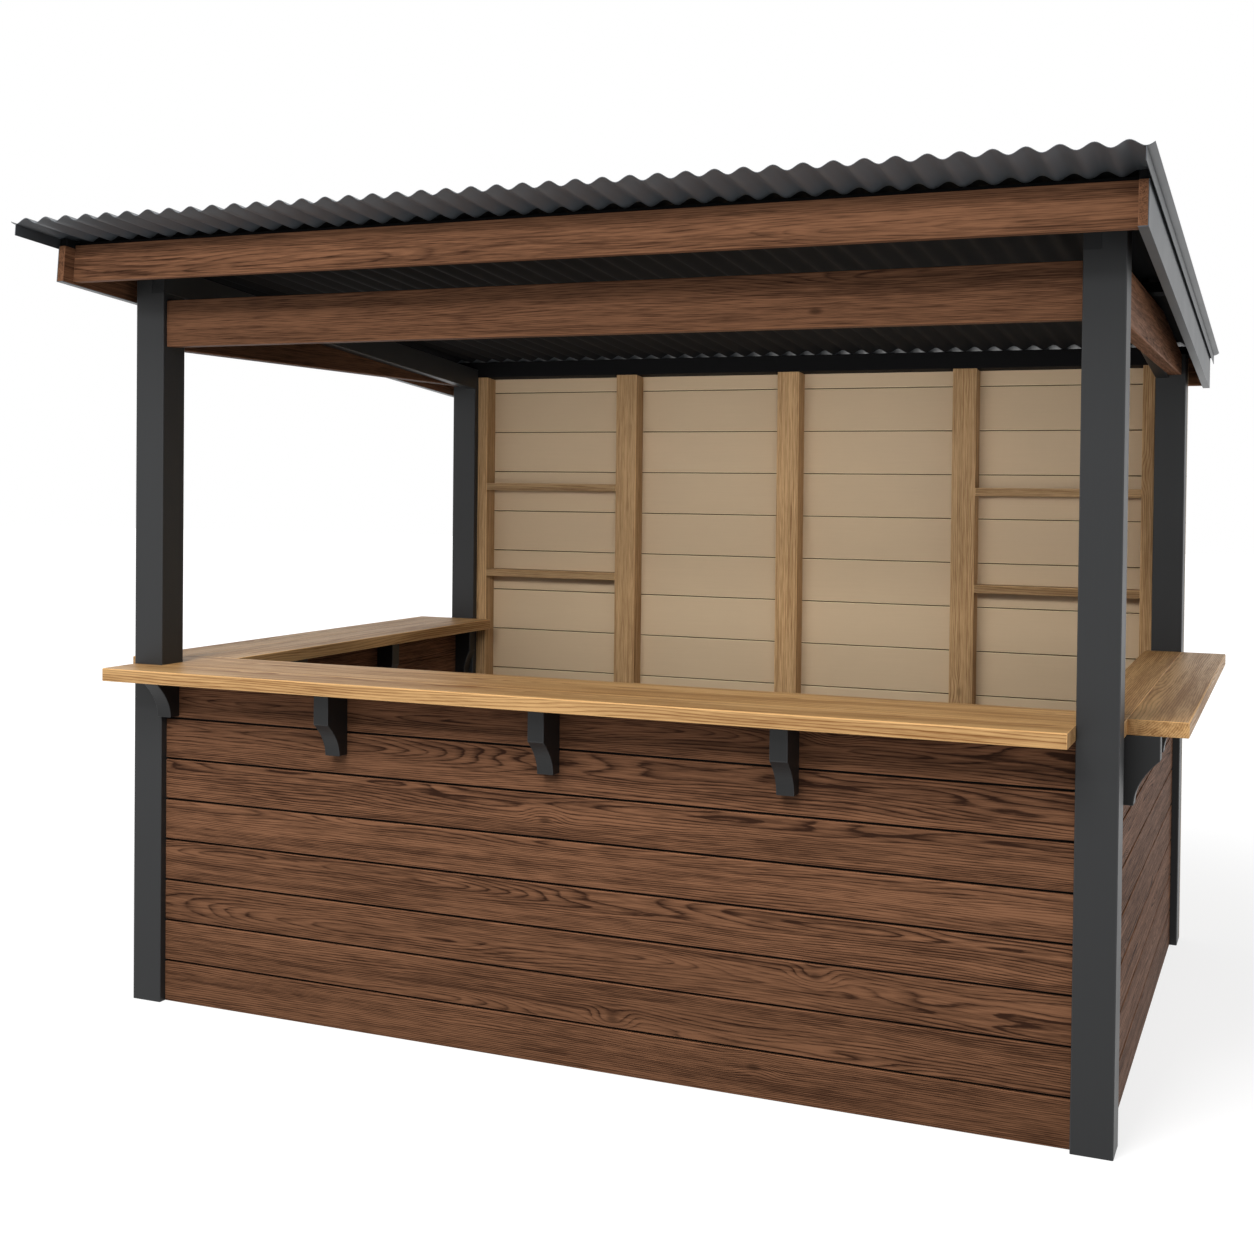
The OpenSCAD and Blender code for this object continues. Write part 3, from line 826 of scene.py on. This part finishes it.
class STALL_OT_stage(bpy.types.Operator):
    """Pale floor, soft studio light, white surround and the camera"""

    bl_idname = "stall.stage"
    bl_label = "Stage"

    def execute(self, context):
        context.scene.view_settings.view_transform = "Standard"
        self.surround(context.scene)
        self.floor(context.scene)
        for name, (place, target, width, height, watts, spread) in LAMPS.items():
            self.lamp(context.scene, name, Vector(place), Vector(target), width, height, watts, spread)
        self.camera(context.scene)
        return {"FINISHED"}

    def seen(self, tree):
        """1 for the rays that show the background: camera, glossy and transmission rays."""
        rays = add(tree, "ShaderNodeLightPath", out="Is Camera Ray").node
        mirrored = add(tree, "ShaderNodeMath", {0: rays.outputs["Is Camera Ray"],
                                                1: rays.outputs["Is Glossy Ray"]}, operation="MAXIMUM")
        return add(tree, "ShaderNodeMath", {0: mirrored, 1: rays.outputs["Is Transmission Ray"]},
                   operation="MAXIMUM")

    def surround(self, scene):
        """White to the eye, and a soft light on the stall."""
        world = bpy.data.worlds.new("studio")
        world.use_nodes = True
        tree = world.node_tree
        tree.nodes.clear()
        light = add(tree, "ShaderNodeBackground", {"Color": (1, 1, 1, 1), "Strength": SURROUND_STRENGTH})
        white = add(tree, "ShaderNodeBackground", {"Color": (1, 1, 1, 1), "Strength": 1.0})
        both = add(tree, "ShaderNodeMixShader", {0: self.seen(tree), 1: light, 2: white})
        add(tree, "ShaderNodeOutputWorld", {"Surface": both})
        scene.world = world

    def floor(self, scene):
        """Large pale floor that keeps the shadow of the stall, and sends less light up close to it."""
        half_side = 40.0
        shadow_share = 0.35
        near, bounce_end, shadow_end = 2.0, 5.0, 6.0
        bm = bmesh.new()
        bmesh.ops.create_grid(bm, x_segments=1, y_segments=1, size=half_side)
        mesh = bpy.data.meshes.new("studio_floor")
        bm.to_mesh(mesh)
        bm.free()
        made, tree = blank_material("pale_studio_floor")
        place = add(tree, "ShaderNodeTexCoord", out="Object")
        far = add(tree, "ShaderNodeVectorMath", {0: place}, operation="LENGTH", out="Value")
        fade = add(tree, "ShaderNodeMapRange",
                   {"Value": far, 1: near, 2: shadow_end, 3: 1 - shadow_share, 4: 1.0},
                   interpolation_type="SMOOTHSTEP")
        seen = self.seen(tree)
        glow = add(tree, "ShaderNodeMath", {0: fade, 1: seen}, operation="MULTIPLY")
        colours = scene.stall_colours
        off = add(tree, "ShaderNodeMapRange", {"Value": far, 1: near, 2: bounce_end})
        pale = add(tree, "ShaderNodeMath", {0: seen, 1: off}, operation="MAXIMUM")
        tint = add(tree, "ShaderNodeMix",
                   {"Factor": pale, "A": list(colours.bounce), "B": list(colours.floor)}, data_type="RGBA")
        matt = add(tree, "ShaderNodeBsdfDiffuse", {"Color": tint})
        white = add(tree, "ShaderNodeEmission", {"Color": (1, 1, 1, 1), "Strength": FLOOR_STRENGTH})
        both = add(tree, "ShaderNodeMixShader", {0: glow, 1: matt, 2: white})
        add(tree, "ShaderNodeOutputMaterial", {"Surface": both})
        mesh.materials.append(made)
        floor = bpy.data.objects.new("studio_floor", mesh)
        scene.collection.objects.link(floor)

    def lamp(self, scene, name, place, target, width, height, watts, spread):
        """Soft box that looks at the target and does not show itself."""
        light = bpy.data.lights.new(name, "AREA")
        light.shape = "RECTANGLE"
        light.size = width
        light.size_y = height
        light.energy = watts
        light.spread = radians(spread)
        lamp = bpy.data.objects.new(name, light)
        lamp.location = place
        lamp.rotation_euler = (target - place).to_track_quat("-Z", "Y").to_euler()
        lamp.visible_camera = False
        lamp.visible_glossy = False
        scene.collection.objects.link(lamp)

    def camera(self, scene):
        """Camera of the photograph, its axis above the middle of the frame."""
        eye = bpy.data.cameras.new("photo_camera")
        eye.sensor_width = SENSOR
        eye.lens = FOCUS_PIXELS * SENSOR / PHOTO_SIDE
        eye.shift_y = (AXIS_PIXEL_Y - PHOTO_SIDE / 2) / PHOTO_SIDE
        camera = bpy.data.objects.new("photo_camera", eye)
        place = Vector((CAMERA_EAST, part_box("post_front_left")[0].y - CAMERA_FORE, CAMERA_HEIGHT))
        camera.matrix_world = (
            Matrix.Translation(place) @ Matrix.Rotation(CAMERA_YAW, 4, "Z")
            @ Matrix.Rotation(pi / 2 + CAMERA_PITCH, 4, "X") @ Matrix.Rotation(CAMERA_ROLL, 4, "Z")
        )
        scene.collection.objects.link(camera)
        scene.camera = camera


OPERATORS = (STALL_OT_posts, STALL_OT_beams, STALL_OT_half_walls, STALL_OT_back_wall, STALL_OT_studs,
             STALL_OT_counters, STALL_OT_brackets, STALL_OT_roof_boards, STALL_OT_roof_metal,
             STALL_OT_stage)


class STALL_PT_panel(bpy.types.Panel):
    """Sizes, colours and pieces of the stall"""

    bl_idname = "STALL_PT_panel"
    bl_label = "Market stall"
    bl_space_type = "VIEW_3D"
    bl_region_type = "UI"
    bl_category = "Stall"

    def draw(self, context):
        layout = self.layout
        for group in (context.scene.stall_sizes, context.scene.stall_colours):
            column = layout.box().column()
            for name in group.__annotations__:
                column.prop(group, name)
        for operator in OPERATORS:
            layout.operator(operator.bl_idname)


CLASSES = (StallSizes, StallColours, *OPERATORS, STALL_PT_panel)


def register():
    for made in CLASSES:
        bpy.utils.register_class(made)
    bpy.types.Scene.stall_sizes = PointerProperty(type=StallSizes)
    bpy.types.Scene.stall_colours = PointerProperty(type=StallColours)


def unregister():
    del bpy.types.Scene.stall_colours
    del bpy.types.Scene.stall_sizes
    for made in reversed(CLASSES):
        bpy.utils.unregister_class(made)


def main():
    register()
    for operator in OPERATORS:
        group, name = operator.bl_idname.split(".")
        getattr(getattr(bpy.ops, group), name)()


if __name__ == "__main__":
    main()
